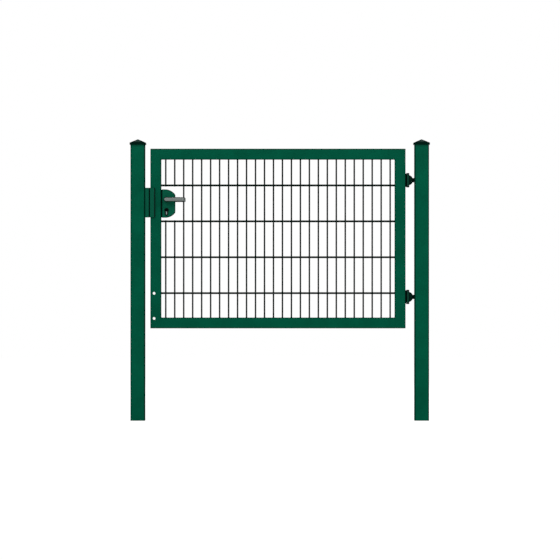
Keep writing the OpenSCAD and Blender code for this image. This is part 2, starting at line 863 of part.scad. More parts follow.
// Two lugs on a back plate that is hollowed out round the eye's barrel
module bracket(z) {
    color(hinge_black)
        translate([pin_x, 0, z]) {
            difference() {
                translate([-pin_offset, -lug_w / 2, -bracket_h / 2])
                    cube([bracket_back_t, lug_w, bracket_h]);
                cylinder(r = barrel_d / 2 + barrel_clear, h = bracket_h - 2 * lug_t, center = true);
            }
            translate([0, 0, bracket_h / 2 - lug_t]) lug();
            translate([0, 0, -bracket_h / 2]) lug();
        }
}

// Pin with a rounded head above and a riveted one below
module hinge_pin(z) {
    head_over = 2;
    head_r = pin_d / 2 + head_over;
    edge_r = pin_head_h / 2;
    half = bracket_h / 2;
    head = concat([[pin_d / 2, half], [head_r, half]],
                  arc(head_r - edge_r, half + pin_head_h - edge_r, edge_r, 0, 90, arc_steps),
                  [[0, half + pin_head_h]]);
    color(steel_grey)
        translate([pin_x, 0, z])
            rotate_extrude() polygon(concat(head, mirrored(head)));
}

module hinge_washers(z) {
    seat = bracket_h / 2 - lug_t;
    color(steel_grey)
        for (z0 = [-seat, seat - washer_t])
            translate([pin_x, 0, z + z0]) linear_extrude(height = washer_t)
                difference() {
                    circle(d = lug_w);
                    circle(d = pin_d);
                }
}

module upper_hinge_eye() { eye(hinge_z[1]); }
module lower_hinge_eye() { eye(hinge_z[0]); }
module upper_hinge_nuts() { hinge_nuts(hinge_z[1]); }
module lower_hinge_nuts() { hinge_nuts(hinge_z[0]); }
module upper_hinge_bracket() { bracket(hinge_z[1]); }
module lower_hinge_bracket() { bracket(hinge_z[0]); }
module upper_hinge_pin() { hinge_pin(hinge_z[1]); }
module lower_hinge_pin() { hinge_pin(hinge_z[0]); }
module upper_hinge_washers() { hinge_washers(hinge_z[1]); }
module lower_hinge_washers() { hinge_washers(hinge_z[0]); }

hinge_post();
lock_post();
hinge_post_cap();
lock_post_cap();
keep();
stop_buffer();
upper_hinge_eye();
lower_hinge_eye();
upper_hinge_nuts();
lower_hinge_nuts();
lock_stile();
hinge_stile();
top_rail();
bottom_rail();
mesh_panel();
lock_case();
lock_face_plate();
latch_bolt();
dead_bolt();
front_rose();
back_rose();
front_escutcheon();
back_escutcheon();
profile_cylinder();
cylinder_plugs();
upper_hinge_bracket();
lower_hinge_bracket();
upper_hinge_pin();
lower_hinge_pin();
upper_hinge_washers();
lower_hinge_washers();
front_lever();
back_lever();
lever_spindle();
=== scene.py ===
"""Looks, light and camera for a single-leaf tubular frame gate between two capped posts.

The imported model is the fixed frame. Each operator dresses one group of like pieces: it
gives them their finishes and adds the small things that the frame leaves out, such as the
round welded wires, the weld beads and the screws. Lengths are in metres and every place
is taken from the frame's own boxes.
"""

import json
import math

import bmesh
import bpy
from bpy.props import FloatProperty, FloatVectorProperty, PointerProperty
from bpy.types import Operator, Panel, PropertyGroup
from mathutils import Color, Matrix, Vector


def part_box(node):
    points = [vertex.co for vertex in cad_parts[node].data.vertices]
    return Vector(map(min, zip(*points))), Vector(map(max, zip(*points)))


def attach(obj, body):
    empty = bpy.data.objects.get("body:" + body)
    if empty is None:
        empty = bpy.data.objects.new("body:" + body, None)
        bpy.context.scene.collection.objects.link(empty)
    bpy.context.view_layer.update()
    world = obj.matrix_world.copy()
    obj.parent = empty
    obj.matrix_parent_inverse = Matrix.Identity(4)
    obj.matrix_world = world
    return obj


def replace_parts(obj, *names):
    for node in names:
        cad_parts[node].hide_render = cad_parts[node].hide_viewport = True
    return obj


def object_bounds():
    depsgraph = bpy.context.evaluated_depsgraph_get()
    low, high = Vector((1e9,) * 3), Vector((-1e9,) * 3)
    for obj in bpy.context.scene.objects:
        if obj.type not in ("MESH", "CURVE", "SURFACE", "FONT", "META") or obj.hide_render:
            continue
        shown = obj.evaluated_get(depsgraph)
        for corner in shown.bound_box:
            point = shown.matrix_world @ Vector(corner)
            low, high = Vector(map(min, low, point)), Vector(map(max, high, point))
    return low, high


bl_info = {
    "name": "Tubular Frame Gate",
    "version": (1, 0, 0),
    "blender": (4, 5, 0),
    "location": "View3D > Sidebar > Gate",
    "description": "Finishes, wires, welds, light and camera for a tubular frame gate",
    "category": "Object",
}

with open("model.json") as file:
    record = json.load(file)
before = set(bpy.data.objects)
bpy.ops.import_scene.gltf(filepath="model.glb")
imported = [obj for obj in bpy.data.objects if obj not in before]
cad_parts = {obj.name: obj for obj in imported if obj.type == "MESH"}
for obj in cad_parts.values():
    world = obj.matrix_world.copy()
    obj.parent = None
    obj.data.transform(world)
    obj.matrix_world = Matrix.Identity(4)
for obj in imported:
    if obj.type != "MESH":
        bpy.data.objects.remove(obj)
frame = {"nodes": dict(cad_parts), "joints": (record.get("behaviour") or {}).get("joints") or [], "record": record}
cad_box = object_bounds()

MM = 0.001
SLOT_OF_NODE = {row["node"]: row["material_slot"] for row in frame["record"]["subparts"]}
LEFT = Vector((-1, 0, 0))
RIGHT = Vector((1, 0, 0))
FRONT = Vector((0, -1, 0))
BACK = Vector((0, 1, 0))
DOWN = Vector((0, 0, -1))
UP = Vector((0, 0, 1))


# ---- Sizes, colours and light that a user would change ----


def paint(name, description, red, green, blue):
    """A colour in the sidebar. Its default is given as display values of 0 to 255."""
    return FloatVectorProperty(
        name=name, description=description, default=(red / 255, green / 255, blue / 255),
        subtype="COLOR_GAMMA", size=3, min=0, max=1)


def length(name, description, default, least=0.0):
    """A length in the sidebar, in metres."""
    return FloatProperty(
        name=name, description=description, default=default, min=least,
        subtype="DISTANCE", unit="LENGTH")


class GateColours(PropertyGroup):
    """Colours of the gate's finishes."""

    post_green: paint("Post green", "Powder coat of both posts", 0, 77, 55)
    leaf_green: paint("Leaf green", "Powder coat of the leaf's frame", 0, 75, 54)
    lock_green: paint("Lock green", "Powder coat of the lock case and its roses", 6, 79, 58)
    keep_green: paint("Keep green", "Powder coat of the cast keep", 6, 74, 55)
    # Painted shade on the powder coat's rounded corners
    corner_shade_green: paint("Corner shade green", "Painted shade on the powder coat's rounded corners", 0, 36, 25)
    # Painted shade on the keep's rounded corners
    keep_corner_shade: paint("Keep corner shade", "Painted shade on the keep's rounded corners", 0, 26, 18)
    # Painted shade in the keep's groove and the lock's slot
    slot_shade_black: paint("Slot shade black", "Painted shade in narrow slots of the keep and lock", 0, 5, 3)
    # Painted shade on the posts just under their caps
    under_cap_shade_green: paint("Under-cap shade green", "Painted shade on a post just under its cap", 0, 34, 24)
    wire_green: paint("Wire green", "Thick dark coat of the mesh wires", 4, 17, 13)
    hinge_green: paint("Hinge green", "Dark coat of the hinges' forgings and nuts", 2, 27, 20)
    # Painted shade on the hinges' rounded corners
    hinge_corner_shade: paint("Hinge corner shade", "Painted shade on the hinges' rounded corners", 1, 12, 9)
    # Painted highlight down the front of the hinges' barrels
    barrel_highlight_green: paint(
        "Barrel highlight green", "Painted highlight down the front of each hinge's barrel", 20, 66, 52)
    cap_black: paint("Cap black", "Green-black plastic of the post caps", 0, 24, 17)
    # Painted sheen of the bright sky on the caps' slopes
    cap_slope_sheen: paint("Cap slope sheen", "Painted sheen on the slopes of the post caps", 52, 74, 68)
    escutcheon_black: paint("Escutcheon black", "Black plastic of the escutcheons", 3, 12, 9)
    dust_grey: paint("Dust grey", "Fine dust on faces that look up", 96, 108, 102)
    lever_grey: paint("Lever grey", "Satin anodised aluminium of the levers", 100, 105, 103)
    # Painted shade on the levers' long rounded edges
    lever_edge_shade: paint("Lever edge shade", "Painted shade on the long rounded edges of the levers", 25, 28, 27)
    stainless: paint("Stainless", "Brushed stainless steel of the face plate and bolts", 164, 164, 162)
    zinc: paint("Zinc", "Zinc-plated steel of the washers, spindle and screws", 62, 67, 68)
    nickel: paint("Nickel", "Satin nickel of the lock's cylinder", 122, 134, 131)
    # Painted shade on the cylinder's round end and the flanks of its leg
    cylinder_shade_black: paint("Cylinder shade black", "Painted shade on the cylinder's round end and flanks", 6, 8, 8)
    # The plugs' near-black is painted shade of the keyhole
    plug_dark: paint("Plug dark", "Dark satin of the cylinder's turning plugs", 8, 9, 9)
    rubber_black: paint("Rubber black", "Rubber of the stop buffer", 12, 16, 15)


class GateSizes(PropertyGroup):
    """Sizes of what is added to the frame."""

    wire_pitch: length("Wire pitch", "Spacing of the upright wires", 0.050, 0.02)
    first_cross: length("First cross wires", "Height of the lowest cross wires in the opening", 0.136)
    cross_pitch: length("Cross pitch", "Spacing of the pairs of cross wires", 0.200, 0.05)
    upright_wire: length("Upright wire", "Diameter of an upright wire with its coat", 0.0086, 0.003)
    cross_wire: length("Cross wire", "Diameter of a cross wire with its coat", 0.0106, 0.003)
    wire_sink: length("Wire sink", "Depth by which crossing wires are welded into each other", 0.0009)
    lock_clear: length("Lock clearance", "Least gap between the lock case and the wires", 0.008)
    bead_width: length(
        "Bead width", "Leg of the weld beads in the frame's inner corners", 0.0018, 0.001)
    bead_ripple: length("Bead ripple", "Spacing of the ripples along a weld bead", 0.0016, 0.0005)
    screw_head: length("Screw head", "Diameter of the lock's screw heads", 0.008, 0.003)
    grub_screw: length("Grub screw", "Diameter of the levers' grub screws", 0.005, 0.002)
    keep_screw: length("Keep screw", "Diameter of the screw heads in the keep's pockets", 0.010, 0.003)
    hinge_bead: length("Hinge bead", "Leg of the weld beads beside the hinge brackets", 0.0025, 0.001)
    grip_round: length(
        "Grip rounding", "Rounding of the edges of the levers and the keep", 0.0008, 0.0001)
    forged_round: length(
        "Forged rounding", "Rounding of the edges of the lock case and hinge forgings", 0.0006, 0.0001)
    moulded_round: length(
        "Moulded rounding", "Rounding of the edges of the caps and escutcheons", 0.0005, 0.0001)
    rose_round: length(
        "Rose rounding", "Rounding of the edges of the roses and the stop buffer", 0.0004, 0.0001)
    turned_round: length(
        "Turned rounding", "Rounding of the edges of plates, bolts, nuts and pins", 0.0003, 0.0001)
    plug_round: length(
        "Plug rounding", "Rounding of the edges of the cylinder's plugs", 0.0002, 0.0001)
    cap_shadow: length(
        "Under-cap shade band", "Height of the darker band on a post under its cap", 0.018, 0.001)


class GateLight(PropertyGroup):
    """The studio's light and camera."""

    sky_low: FloatProperty(
        name="Sky at the horizon", description="Strength of the sky's light near the floor",
        default=0.42, min=0.0)
    sky_high: FloatProperty(
        name="Sky overhead", description="Strength of the sky's light from straight above",
        default=0.75, min=0.0)
    side_dim: FloatProperty(
        name="Side dimming", description="Share of the sky's light held back at both ends of the gate",
        default=0.4, min=0.0, max=1.0, subtype="FACTOR")
    lamp_power: FloatProperty(
        name="Lamp power", description="Power of each soft lamp in front of the gate",
        default=95.0, min=0.0, unit="POWER")
    lamp_size: length("Lamp size", "Side of each square soft lamp", 3.0, 0.1)
    front_lamp: FloatVectorProperty(
        name="Front lamp", description="Place of the right front lamp from the gate's middle",
        default=(2.2, -4.2, 2.6), subtype="TRANSLATION", unit="LENGTH", size=3)
    back_lamp: FloatVectorProperty(
        name="Back lamp", description="Place of the back lamp from the gate's middle",
        default=(0.0, 4.6, 3.0), subtype="TRANSLATION", unit="LENGTH", size=3)
    back_lamp_share: FloatProperty(
        name="Back lamp share", description="Power of the back lamp as a share of a front lamp's",
        default=1.2, min=0.0)
    floor_radius: length("Floor radius", "Radius of the round floor", 14.0, 2.0)
    floor_glow: FloatProperty(
        name="Floor glow", description="Glow that makes the floor white to look at",
        default=0.84, min=0.0, max=1.0)
    floor_shade: FloatProperty(
        name="Floor shade", description="Paper grey under the glow, which shows the gate's shadow",
        default=0.3, min=0.0, max=1.0)
    floor_bounce: FloatProperty(
        name="Floor bounce", description="Paleness of the floor to the light it throws on the gate",
        default=0.72, min=0.0, max=1.0)
    camera_across: FloatProperty(
        name="Camera across", description="Place of the camera along the gate",
        default=-0.7886, subtype="DISTANCE", unit="LENGTH")
    camera_height: FloatProperty(
        name="Camera height", description="Height of the camera above the posts' feet",
        default=0.7822, subtype="DISTANCE", unit="LENGTH")
    camera_distance: length(
        "Camera distance", "Distance of the camera from the leaf's middle plane", 17.32, 1.0)
    lens: FloatProperty(
        name="Lens", description="Focal length of the camera's lens",
        default=199.87, min=20.0, unit="CAMERA")


def colours():
    """The colours that are set in the scene."""
    return bpy.context.scene.gate_colours


def sizes():
    """The sizes that are set in the scene."""
    return bpy.context.scene.gate_sizes


# ---- Node helpers ----


def add_node(tree, kind, inputs=None, **settings):
    """Adds a node and fills its input sockets with values or links."""
    node = tree.nodes.new(kind)
    for name, value in settings.items():
        setattr(node, name, value)
    for name, value in (inputs or {}).items():
        feed(tree, value, node.inputs[name])
    return node


def feed(tree, value, socket):
    """Links a socket's output into another socket, or writes a plain value there."""
    if isinstance(value, bpy.types.NodeSocket):
        tree.links.new(value, socket)
    else:
        socket.default_value = value


def calc(tree, operation, *values):
    """The result of a maths node on one to three values."""
    node = add_node(tree, "ShaderNodeMath", dict(enumerate(values)), operation=operation)
    return node.outputs[0]


def remap(tree, value, low, high, to_low=0.0, to_high=1.0, kind="LINEAR"):
    """A value taken from one range to another, held at both ends."""
    ends = {"Value": value, "From Min": low, "From Max": high, "To Min": to_low, "To Max": to_high}
    node = add_node(tree, "ShaderNodeMapRange", ends, interpolation_type=kind)
    return node.outputs["Result"]


def blend_colours(tree, share, first, second):
    """The first colour at a share of 0, and the second at a share of 1."""
    node = add_node(tree, "ShaderNodeMix", data_type="RGBA")
    feed(tree, share, node.inputs["Factor"])
    feed(tree, first, node.inputs[6])
    feed(tree, second, node.inputs[7])
    return node.outputs[2]


def noise(tree, place, scale, detail=2.0):
    """A noise between 0 and 1, with the scale in features to the metre."""
    inputs = {"Vector": place, "Scale": scale, "Detail": detail}
    return add_node(tree, "ShaderNodeTexNoise", inputs).outputs[0]


def spread(tree, value, low=-1.0, high=1.0):
    """The middle of a noise's range, where nearly all of it lies, taken to a range of its own."""
    return remap(tree, value, 0.3, 0.7, low, high)


def times(tree, *values):
    """The product of two or more values."""
    product = values[0]
    for value in values[1:]:
        product = calc(tree, "MULTIPLY", product, value)
    return product


def new_group(name, inputs, outputs):
    """An empty shader group with named sockets, and its two end nodes' sockets."""
    group = bpy.data.node_groups.new(name, "ShaderNodeTree")
    for label, kind, default in inputs:
        socket = group.interface.new_socket(name=label, in_out="INPUT", socket_type=kind)
        socket.default_value = default
    for label, kind in outputs:
        group.interface.new_socket(name=label, in_out="OUTPUT", socket_type=kind)
    start = group.nodes.new("NodeGroupInput")
    end = group.nodes.new("NodeGroupOutput")
    return group, start.outputs, end.inputs


def place_group(tree, maker, inputs):
    """A node of a shared group, which is built on its first use."""
    name = maker.__name__
    group = bpy.data.node_groups.get(name) or maker(name)
    node = tree.nodes.new("ShaderNodeGroup")
    node.node_tree = group
    for label, value in inputs.items():
        feed(tree, value, node.inputs[label])
    return node.outputs


COLOUR = "NodeSocketColor"
FLOAT = "NodeSocketFloat"
VECTOR = "NodeSocketVector"
SKIN_OUTPUTS = [("Colour", COLOUR), ("Roughness", FLOAT), ("Height", FLOAT)]


# ---- Shared effects ----


def face_masks(name):
    """Masks of the rounded corners beside front faces, and of faces that don't look sideways."""
    inputs = [("Low", FLOAT, 0.02), ("High", FLOAT, 0.2)]
    group, start, end = new_group(name, inputs, [("Corner", FLOAT), ("Open", FLOAT)])
    place = add_node(group, "ShaderNodeTexCoord")
    parts = add_node(group, "ShaderNodeSeparateXYZ", {0: place.outputs["Normal"]})
    facing = times(group, parts.outputs["Y"], parts.outputs["Y"])
    turned = calc(group, "SUBTRACT", 1.0, facing)
    # These two add up to 1, so their product is a quarter at most and four times it fills 0 to 1
    both = times(group, facing, turned, 4.0)
    corner = remap(group, both, start["Low"], start["High"], kind="SMOOTHSTEP")
    sideways = times(group, parts.outputs["X"], parts.outputs["X"])
    little = 0.1
    much = 0.6
    not_sideways = remap(group, sideways, little, much, 1.0, 0.0, "SMOOTHSTEP")
    group.links.new(corner, end["Corner"])
    group.links.new(not_sideways, end["Open"])
    return group


def settled_dust(name):
    """Dust on faces that look up, broken into soft patches."""
    inputs = [("Colour", COLOUR, (0.1, 0.1, 0.1, 1)), ("Dust Colour", COLOUR, (0.3, 0.3, 0.3, 1)),
              ("Amount", FLOAT, 0.2)]
    group, start, end = new_group(name, inputs, [("Colour", COLOUR), ("Dust", FLOAT)])
    place = add_node(group, "ShaderNodeTexCoord")
    parts = add_node(group, "ShaderNodeSeparateXYZ", {0: place.outputs["Normal"]})
    slanted = 0.55
    level = 0.95
    patch_scale = 38.0
    thinnest = 0.6
    upward = remap(group, parts.outputs["Z"], slanted, level, kind="SMOOTHSTEP")
    patches = spread(group, noise(group, place.outputs["Object"], patch_scale, 5.0), thinnest, 1.0)
    amount = times(group, upward, patches, start["Amount"])
    mixed = blend_colours(group, amount, start["Colour"], start["Dust Colour"])
    group.links.new(mixed, end["Colour"])
    group.links.new(amount, end["Dust"])
    return group


def powder_skin(name):
    """Satin powder coat: soft clouds, painted shade on rounded corners and an orange-peel relief."""
    inputs = [("Colour", COLOUR, (0, 0.08, 0.04, 1)), ("Corner Shade Colour", COLOUR, (0, 0.03, 0.02, 1)),
              ("Clouding", FLOAT, 0.11), ("Cloud Scale", FLOAT, 9.0), ("Speckle", FLOAT, 0.1),
              ("Speckle Scale", FLOAT, 2600.0), ("Satin", FLOAT, 0.42), ("Satin Spread", FLOAT, 0.1),
              ("Peel Scale", FLOAT, 450.0)]
    group, start, end = new_group(name, inputs, SKIN_OUTPUTS)
    place = add_node(group, "ShaderNodeTexCoord").outputs["Object"]
    corner = place_group(group, face_masks, {})["Corner"]
    # Painted shade: the corner colour darkens the rounded corners beside front faces
    coat = blend_colours(group, corner, start["Colour"], start["Corner Shade Colour"])
    clouds = spread(group, noise(group, place, start["Cloud Scale"], 4.0))
    grain = spread(group, noise(group, place, start["Speckle Scale"]))
    speckled = calc(group, "MULTIPLY_ADD", grain, start["Speckle"], 1.0)
    value = calc(group, "MULTIPLY_ADD", clouds, start["Clouding"], speckled)
    tinted = add_node(group, "ShaderNodeHueSaturation", {"Value": value, "Color": coat})
    satin = calc(group, "MULTIPLY_ADD", grain, start["Satin Spread"], start["Satin"])
    group.links.new(tinted.outputs["Color"], end["Colour"])
    group.links.new(satin, end["Roughness"])
    group.links.new(noise(group, place, start["Peel Scale"], 1.0), end["Height"])
    return group


def brushed_skin(name):
    """Metal brushed along one direction, with streaks in its colour, gloss and relief."""
    inputs = [("Colour", COLOUR, (0.4, 0.4, 0.4, 1)), ("Grain", VECTOR, (30.0, 1800.0, 1800.0)),
              ("Streaks", FLOAT, 0.08), ("Satin", FLOAT, 0.35), ("Satin Spread", FLOAT, 0.06)]
    group, start, end = new_group(name, inputs, SKIN_OUTPUTS)
    place = add_node(group, "ShaderNodeTexCoord").outputs["Object"]
    drawn = add_node(group, "ShaderNodeVectorMath", {0: place, 1: start["Grain"]}, operation="MULTIPLY")
    streaks = noise(group, drawn.outputs[0], 1.0, 3.0)
    full_streaks = spread(group, streaks)
    value = calc(group, "MULTIPLY_ADD", full_streaks, start["Streaks"], 1.0)
    tinted = add_node(group, "ShaderNodeHueSaturation", {"Value": value, "Color": start["Colour"]})
    satin = calc(group, "MULTIPLY_ADD", full_streaks, start["Satin Spread"], start["Satin"])
    group.links.new(tinted.outputs["Color"], end["Colour"])
    group.links.new(satin, end["Roughness"])
    group.links.new(streaks, end["Height"])
    return group


def moulded_skin(name):
    """Moulded plastic or rubber with a fine eroded texture and faint flow marks."""
    inputs = [("Colour", COLOUR, (0.02, 0.02, 0.02, 1)), ("Grain Scale", FLOAT, 1500.0),
              ("Flow", FLOAT, 0.1), ("Flow Scale", FLOAT, 24.0), ("Satin", FLOAT, 0.5),
              ("Satin Spread", FLOAT, 0.08)]
    group, start, end = new_group(name, inputs, SKIN_OUTPUTS)
    place = add_node(group, "ShaderNodeTexCoord").outputs["Object"]
    flow = spread(group, noise(group, place, start["Flow Scale"], 5.0))
    value = calc(group, "MULTIPLY_ADD", flow, start["Flow"], 1.0)
    tinted = add_node(group, "ShaderNodeHueSaturation", {"Value": value, "Color": start["Colour"]})
    grain = noise(group, place, start["Grain Scale"], 3.0)
    satin = calc(group, "MULTIPLY_ADD", spread(group, grain), start["Satin Spread"], start["Satin"])
    group.links.new(tinted.outputs["Color"], end["Colour"])
    group.links.new(satin, end["Roughness"])
    group.links.new(grain, end["Height"])
    return group


# ---- Materials ----


# Depth of the relief in each kind of surface
PEEL_DEPTH = 0.25 * MM
SCRATCH_DEPTH = 0.02 * MM
MOULD_DEPTH = 0.05 * MM

# Features to the metre along X, Y and Z in metal that was brushed or turned
ALONG_X = (25.0, 1500.0, 1500.0)
ALONG_Z = (1500.0, 1500.0, 25.0)
TURNED = (900.0, 60.0, 900.0)


def linear(colour):
    """A display colour as the linear colour with alpha that a socket takes."""
    return (*Color(colour).from_srgb_to_scene_linear(), 1.0)


def new_material(name):
    """A new node material, its tree and its shader."""
    material = bpy.data.materials.new(name)
    material.use_nodes = True
    tree = material.node_tree
    return material, tree, tree.nodes["Principled BSDF"]


def lead_in(tree, shader, skin, relief, colour):
    """Leads a colour and a skin's roughness and relief into the shader."""
    bump = add_node(tree, "ShaderNodeBump", {"Distance": relief, "Height": skin["Height"]})
    feed(tree, colour, shader.inputs["Base Color"])
    feed(tree, skin["Roughness"], shader.inputs["Roughness"])
    feed(tree, bump.outputs["Normal"], shader.inputs["Normal"])


def add_gloss(tree, shader, weight, satin):
    """A thin satin sheen on the faces that don't look sideways, in place of a plain one."""
    shader.inputs["Specular IOR Level"].default_value = 0.0
    shader.inputs["Coat Roughness"].default_value = satin
    open_faces = place_group(tree, face_masks, {})["Open"]
    feed(tree, times(tree, open_faces, weight), shader.inputs["Coat Weight"])


def dusted(tree, skin, amount):
    """A skin's colour with settled dust over it."""
    inputs = {"Colour": skin["Colour"], "Dust Colour": linear(colours().dust_grey), "Amount": amount}
    return place_group(tree, settled_dust, inputs)["Colour"]


def powder_coat(name, colour, dust=0.1, satin=0.42, gloss=0.035, corner=None):
    """Powder-coated steel or cast metal."""
    material, tree, shader = new_material(name)
    # The corner colour is painted shade on rounded corners
    inputs = {"Colour": linear(colour), "Corner Shade Colour": linear(corner or colours().corner_shade_green),
              "Satin": satin}
    skin = place_group(tree, powder_skin, inputs)
    lead_in(tree, shader, skin, PEEL_DEPTH, dusted(tree, skin, dust))
    add_gloss(tree, shader, gloss, satin)
    return material


def paint_over(material, share, colour):
    """Lays a second colour over a material's own, by a share that changes over the surface."""
    tree = material.node_tree
    base = tree.nodes["Principled BSDF"].inputs["Base Color"]
    own = base.links[0].from_socket
    feed(tree, blend_colours(tree, share, own, linear(colour)), base)
    return material


def place_parts(tree, kind="Object"):
    """The X, Y and Z of a point on the surface, or of another coordinate there."""
    place = add_node(tree, "ShaderNodeTexCoord").outputs[kind]
    return add_node(tree, "ShaderNodeSeparateXYZ", {0: place}).outputs


def off_line(tree, place, axis, middle):
    """Distance of a point on the surface from a plane across one axis."""
    return calc(tree, "ABSOLUTE", calc(tree, "SUBTRACT", place[axis], middle))


def brushed_metal(name, colour, grain, satin):
    """Bare or plated metal, brushed along the direction of its smallest grain number."""
    material, tree, shader = new_material(name)
    inputs = {"Colour": linear(colour), "Grain": grain, "Satin": satin}
    skin = place_group(tree, brushed_skin, inputs)
    shader.inputs["Metallic"].default_value = 1.0
    lead_in(tree, shader, skin, SCRATCH_DEPTH, skin["Colour"])
    return material


def moulded(name, colour, satin, gloss, dust=0.1, grain_scale=1500.0):
    """Plastic or rubber straight from its mould."""
    material, tree, shader = new_material(name)
    inputs = {"Colour": linear(colour), "Satin": satin, "Grain Scale": grain_scale}
    skin = place_group(tree, moulded_skin, inputs)
    lead_in(tree, shader, skin, MOULD_DEPTH, dusted(tree, skin, dust))
    add_gloss(tree, shader, gloss, satin)
    return material


# ---- Finishes ----


def post_coat(name):
    """Green powder coat with a band of painted shade just under each cap."""
    material = powder_coat(name, colours().post_green)
    tree = material.node_tree
    cap_lip = 4 * MM
    darkest = 0.6
    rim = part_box("hinge_post")[1].z - cap_lip
    # Painted shade, darkest at the cap's rim and fading downwards
    band = remap(tree, place_parts(tree)["Z"], rim - sizes().cap_shadow, rim, kind="SMOOTHSTEP")
    return paint_over(material, times(tree, band, darkest), colours().under_cap_shade_green)


def leaf_coat(name):
    """Green powder coat of the leaf's tubes."""
    return powder_coat(name, colours().leaf_green)


def lock_coat(name):
    """A slightly glossier green on the lock, with painted shade in the slot between its covers and the stile."""
    material = powder_coat(name, colours().lock_green, satin=0.38)
    tree = material.node_tree
    slot = 4.4 * MM
    darkest = 0.9
    stile_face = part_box("lock_case")[0].x
    # Painted shade in the slot beside the stile
    within = calc(tree, "LESS_THAN", place_parts(tree)["X"], stile_face + slot)
    return paint_over(material, times(tree, within, darkest), colours().slot_shade_black)


def keep_coat(name):
    """Green coat on the cast keep, with painted shade in the groove between its band and its stop flange."""
    # The corner colour here is painted shade on the keep's rounded corners
    material = powder_coat(name, colours().keep_green, satin=0.45, corner=colours().keep_corner_shade)
    tree = material.node_tree
    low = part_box("keep")[0]
    groove_middle = low.x + 26 * MM
    half_width = 2.3 * MM
    shaded_from = low.y + 3.6 * MM
    fade = 1.5 * MM
    place = place_parts(tree)
    # Painted shade on the groove's floor
    within = calc(tree, "LESS_THAN", off_line(tree, place, "X", groove_middle), half_width)
    deep = remap(tree, place["Y"], shaded_from, shaded_from + fade)
    return paint_over(material, times(tree, within, deep), colours().slot_shade_black)


def wire_coat(name):
    """Thick dark coat of the mesh wires."""
    return powder_coat(name, colours().wire_green, dust=0.05, corner=colours().wire_green)


def hinge_coat(name):
    """Dark satin coat of the hinges' forgings, nuts and pins."""
    # The corner colour here is painted shade on the hinges' rounded corners
    return powder_coat(name, colours().hinge_green, satin=0.5, corner=colours().hinge_corner_shade)


def barrel_with_highlight(name):
    """The hinges' dark coat, with a painted highlight down the front of the barrel."""
    material = hinge_coat(name)
    tree = material.node_tree
    low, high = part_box("upper_hinge_pin")
    highlight_line = (low.x + high.x) / 2 + 1 * MM
    half_highlight = 2 * MM
    past_highlight = 5.5 * MM
    # Painted highlight: greener in a strip down the front of the barrel
    across = off_line(tree, place_parts(tree), "X", highlight_line)
    highlit = remap(tree, across, half_highlight, past_highlight, 1.0, 0.0)
    return paint_over(material, highlit, colours().barrel_highlight_green)


def cap_with_slope_sheen(name):
    """Moulded plastic with a painted grey-green sheen on its four slopes, between their darker ridges."""
    material = moulded(name, colours().cap_black, satin=0.6, gloss=0.02, dust=0.0)
    tree = material.node_tree
    middle = 0.5
    ridge_edge = 0.09
    open_slope = 0.17
    across = place_parts(tree, "Generated")
    sides = [off_line(tree, across, axis, middle) for axis in "XY"]
    from_ridge = calc(tree, "ABSOLUTE", calc(tree, "SUBTRACT", *sides))
    inside = remap(tree, from_ridge, ridge_edge, open_slope, kind="SMOOTHSTEP")
    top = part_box("hinge_post_cap")[1].z
    slope_foot = top - 17 * MM
    slope_middle = top - 9 * MM
    risen = remap(tree, place_parts(tree)["Z"], slope_foot, slope_middle, kind="SMOOTHSTEP")
    # Painted sheen: lighter up the slopes and away from the ridges
    return paint_over(material, times(tree, inside, risen), colours().cap_slope_sheen)


def escutcheon_plastic(name):
    """Fine black plastic of the escutcheons."""
    return moulded(name, colours().escutcheon_black, satin=0.5, gloss=0.05)


def buffer_rubber(name):
    """Matt rubber of the stop buffer."""
    return moulded(name, colours().rubber_black, satin=0.7, gloss=0.06, grain_scale=900.0)


def lever_metal(name):
    """Aluminium brushed along the levers, with painted shade on their long rounded edges."""
    material = brushed_metal(name, colours().lever_grey, ALONG_X, satin=0.42)
    tree = material.node_tree
    flat = 0.06
    rounded = 0.4
    facing = place_parts(tree, "Normal")
    # Only a long edge looks both forward and up, so this is 0 on every other face, and 1 at most
    both = times(tree, facing["Y"], facing["Y"], facing["Z"], facing["Z"], 4.0)
    edge = remap(tree, both, flat, rounded, kind="SMOOTHSTEP")
    # Painted shade on the long rounded edges
    return paint_over(material, edge, colours().lever_edge_shade)


def plate_metal(name):
    """Stainless steel brushed up and down the face plate and the bolts."""
    return brushed_metal(name, colours().stainless, ALONG_Z, satin=0.32)


def zinc_metal(name):
    """Turned and zinc-plated steel of the washers, the spindle and the grub screws."""
    return brushed_metal(name, colours().zinc, TURNED, satin=0.35)


def cylinder_metal(name):
    """Nickel, with painted shade on the cylinder's round end and on both flanks of its leg."""
    material = brushed_metal(name, colours().nickel, TURNED, satin=0.3)
    tree = material.node_tree
    low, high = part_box("cylinder_plugs")
    middle = (low + high) / 2
    round_inside = 8.2 * MM
    round_outside = 8.8 * MM
    leg_bright = 2.2 * MM
    leg_shaded = 3.0 * MM
    place = place_parts(tree)
    across = off_line(tree, place, "X", middle.x)
    along = off_line(tree, place, "Z", middle.z)
    squares = [times(tree, value, value) for value in (across, along)]
    reach = calc(tree, "SQRT", calc(tree, "ADD", *squares))
    round_end = remap(tree, reach, round_inside, round_outside, 1.0, 0.0)
    flanks = remap(tree, across, leg_bright, leg_shaded)
    # Painted shade on the round end and on the leg's flanks
    painted_shade = calc(tree, "MAXIMUM", round_end, flanks)
    return paint_over(material, painted_shade, colours().cylinder_shade_black)


def plug_metal(name):
    """Dark satin of the cylinder's turning plugs, near-black as painted shade of the keyhole."""
    return brushed_metal(name, colours().plug_dark, TURNED, satin=0.4)


